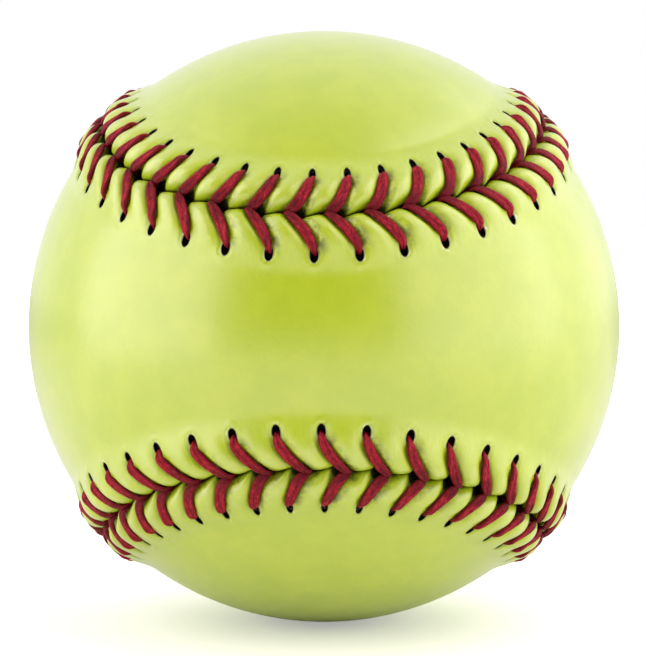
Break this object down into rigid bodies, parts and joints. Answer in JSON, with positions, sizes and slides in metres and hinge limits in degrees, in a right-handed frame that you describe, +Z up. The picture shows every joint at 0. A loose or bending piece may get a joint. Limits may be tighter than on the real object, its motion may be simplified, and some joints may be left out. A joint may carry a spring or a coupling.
{
  "type": "softball",
  "caption": "Optic yellow softball: two figure-eight leather panels laced together with red waxed thread over a wound cork core.",
  "frame": {"origin": "centre of the ball", "axes": "+Z up; -Y towards the waist of the front panel, whose two lobes lie at +X and -X; the rear panel's waist is at +Y and its lobes are at +Z and -Z"},
  "size_m": [0.097, 0.097, 0.097],
  "materials": {
    "cork": "moulded cork and rubber",
    "yarn": "twisted yarn",
    "rubber_cement": "dried latex",
    "cover_leather": "fine-grained, satin",
    "waxed_thread": "waxed"
  },
  "bodies": {
    "root": {"cork_core": "cork", "yarn_winding": "yarn", "cement_coat": "rubber_cement", "front_cover_panel": "cover_leather", "rear_cover_panel": "cover_leather", "first_thread": "waxed_thread", "second_thread": "waxed_thread"}
  },
  "joints": []
}
